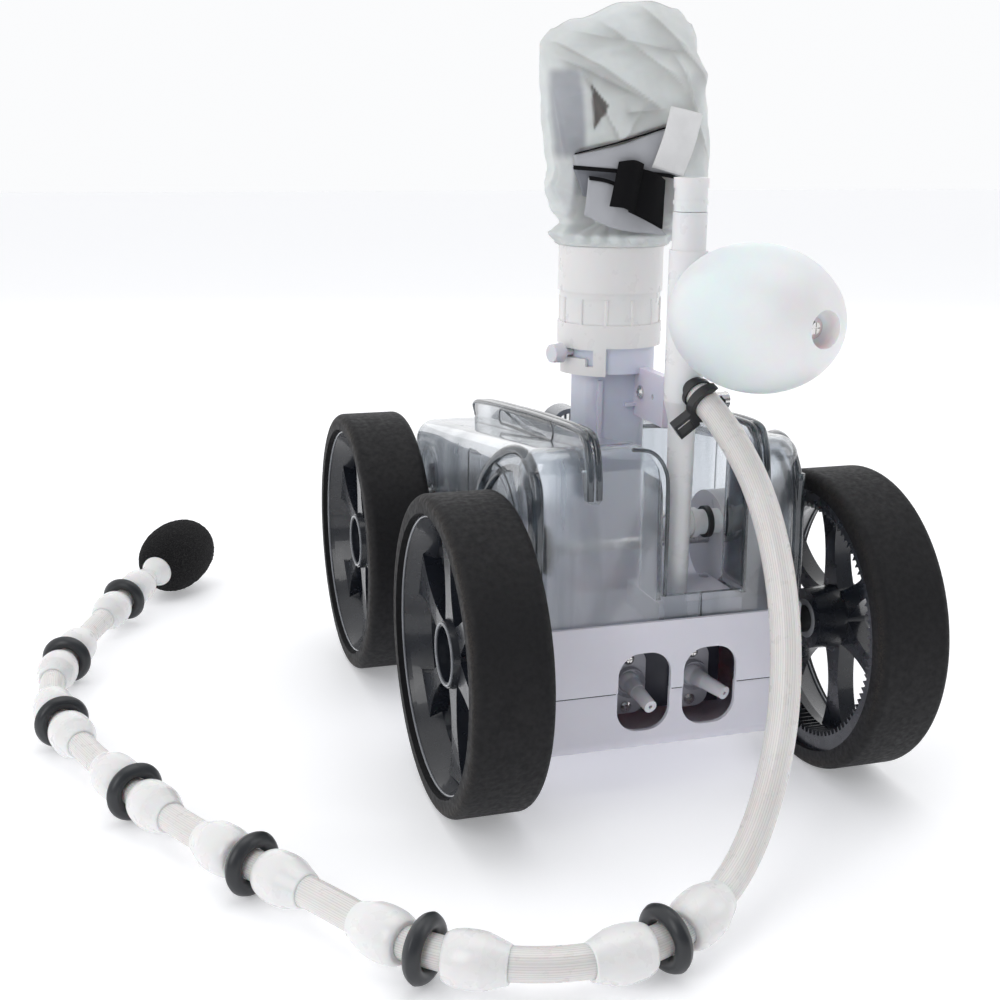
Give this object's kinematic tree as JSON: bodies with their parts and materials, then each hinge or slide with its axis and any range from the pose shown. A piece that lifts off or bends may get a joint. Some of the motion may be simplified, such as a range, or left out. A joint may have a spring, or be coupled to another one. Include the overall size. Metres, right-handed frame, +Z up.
{
  "type": "pool cleaner",
  "caption": "Wheeled pressure-driven pool cleaner: clear hood over a geared drive, suction column with a filter bag, feed mast with a float, and a sweeping tail hose.",
  "frame": {"origin": "on the floor, midway between the left wheels along Y and midway between the left and right tyres along X", "axes": "+Z up, +Y forward along travel, +X to the cleaner's right"},
  "size_m": [0.545, 0.766, 0.491],
  "materials": {
    "tyre_rubber": "moulded rubber, worn matt tread with scuffed edges",
    "rim_plastic": "semi-gloss moulded plastic",
    "shell_white": "satin moulded plastic, very pale lilac white",
    "hood_clear": "clear smoky polycarbonate, polished",
    "vent_dark": "dark moulded louvre",
    "column_translucent": "translucent lavender-white moulding",
    "collar_white": "satin warm white moulding",
    "mast_white": "satin white moulding",
    "float_translucent": "translucent white blow moulding",
    "bag_mesh": "fine white filter mesh",
    "hose_clear": "clear-white flexible vinyl with fine lengthwise lines",
    "hose_white": "white moulded barrels",
    "ring_rubber": "charcoal wear rings, scuffed",
    "scrubber_foam": "black open-cell foam",
    "jet_grey": "satin grey moulded socket plates",
    "jet_white": "pale moulded nozzles",
    "turbine_white": "white moulded drum",
    "black_plastic": "black moulded plastic",
    "drive_grey": "moulded acetal",
    "belt_rubber": "moulded rubber",
    "steel": "ground stainless steel",
    "chrome_screw": "bright stainless fasteners"
  },
  "bodies": {
    "chassis": {"base_pan": "shell_white", "chassis_band": "shell_white", "hood": "hood_clear", "hood_vent": "vent_dark", "hood_screws": "chrome_screw", "vacuum_tube": "column_translucent", "venturi_ring": "column_translucent", "feed_mast": "mast_white", "mast_screws": "chrome_screw", "float": "float_translucent", "float_screw": "chrome_screw", "water_manifold": "black_plastic", "jet_plate_left": "jet_grey", "jet_plate_right": "jet_grey", "jet_screws": "chrome_screw", "feed_elbow": "mast_white", "elbow_o_ring": "belt_rubber", "turbine_housing": "turbine_white", "turbine_cover": "turbine_white", "shaft_bearings": "drive_grey", "drive_belt": "belt_rubber", "front_axle": "steel", "rear_axle": "steel", "axle_caps": "drive_grey", "axle_spacers": "black_plastic", "tail_hose": "hose_clear", "hose_connectors": "hose_white", "wear_rings": "ring_rubber", "scrubber_cone": "hose_white", "hose_scrubber": "scrubber_foam", "hose_fitting": "mast_white", "hose_clip": "black_plastic"},
    "rear_left_wheel": {"rear_left_tyre": "tyre_rubber", "rear_left_rim": "rim_plastic", "rear_left_hub_bearings": "drive_grey"},
    "front_left_wheel": {"front_left_tyre": "tyre_rubber", "front_left_rim": "rim_plastic", "front_left_hub_bearings": "drive_grey"},
    "right_wheel": {"right_tyre": "tyre_rubber", "right_rim": "rim_plastic", "right_hub_bearings": "drive_grey"},
    "drive_shaft_assembly": {"drive_shaft": "steel", "rear_left_pinion": "drive_grey", "right_pinion": "drive_grey", "rear_sprocket": "drive_grey", "turbine_wheel": "drive_grey"},
    "front_shaft_assembly": {"front_shaft": "steel", "front_pinion": "drive_grey", "front_sprocket": "drive_grey"},
    "bag": {"bayonet_ring": "collar_white", "bag_collar": "collar_white", "filter_bag": "bag_mesh"},
    "latch": {"latch_knob": "collar_white"},
    "swivel": {"mast_swivel": "mast_white"},
    "flow_screw": {"adjust_screw": "chrome_screw"},
    "left_jet": {"thrust_jet_left": "jet_white"},
    "right_jet": {"thrust_jet_right": "jet_white"}
  },
  "joints": [
    {"name": "rear_left_wheel_spin", "type": "hinge", "parent": "chassis", "child": "rear_left_wheel", "pos_m": [-0.128, -0.132, 0.1], "axis": [1, 0, 0], "continuous": true},
    {"name": "right_wheel_spin", "type": "hinge", "parent": "chassis", "child": "right_wheel", "pos_m": [0.128, -0.132, 0.1], "axis": [1, 0, 0], "continuous": true},
    {"name": "front_left_wheel_spin", "type": "hinge", "parent": "chassis", "child": "front_left_wheel", "pos_m": [-0.128, 0.132, 0.1], "axis": [1, 0, 0], "continuous": true},
    {"name": "drive_shaft_spin", "type": "hinge", "parent": "chassis", "child": "drive_shaft_assembly", "pos_m": [0, -0.08448, 0.14752], "axis": [1, 0, 0], "continuous": true},
    {"name": "front_shaft_spin", "type": "hinge", "parent": "chassis", "child": "front_shaft_assembly", "pos_m": [-0.08, 0.08448, 0.14752], "axis": [1, 0, 0], "continuous": true},
    {"name": "bag_twist", "type": "hinge", "parent": "chassis", "child": "bag", "pos_m": [-0.001, -0.035, 0.3], "axis": [0, 0, 1], "range_deg": [-30, 0]},
    {"name": "latch_knob_pull", "type": "slide", "parent": "chassis", "child": "latch", "axis": [-0.9613, -0.2756, 0], "range_m": [0, 0.003], "stiffness_N_per_m": 400, "springref_m": -0.001},
    {"name": "mast_swivel_spin", "type": "hinge", "parent": "chassis", "child": "swivel", "pos_m": [0.0155, -0.122, 0.375], "axis": [0, 0, 1], "continuous": true},
    {"name": "flow_screw_turn", "type": "hinge", "parent": "chassis", "child": "flow_screw", "pos_m": [0.04, -0.122, 0.249], "axis": [1, 0, 0], "continuous": true},
    {"name": "left_jet_tilt", "type": "hinge", "parent": "chassis", "child": "left_jet", "pos_m": [-0.0156, -0.124, 0.065], "axis": [1, 0, 0], "range_deg": [-10, 10]},
    {"name": "right_jet_tilt", "type": "hinge", "parent": "chassis", "child": "right_jet", "pos_m": [0.0294, -0.124, 0.0655], "axis": [1, 0, 0], "range_deg": [-10, 10]}
  ],
  "couplings": [
    {"joint": "right_wheel_spin", "follows": "rear_left_wheel_spin", "ratio": 1},
    {"joint": "front_left_wheel_spin", "follows": "rear_left_wheel_spin", "ratio": 1},
    {"joint": "drive_shaft_spin", "follows": "rear_left_wheel_spin", "ratio": 8},
    {"joint": "front_shaft_spin", "follows": "rear_left_wheel_spin", "ratio": 8}
  ]
}
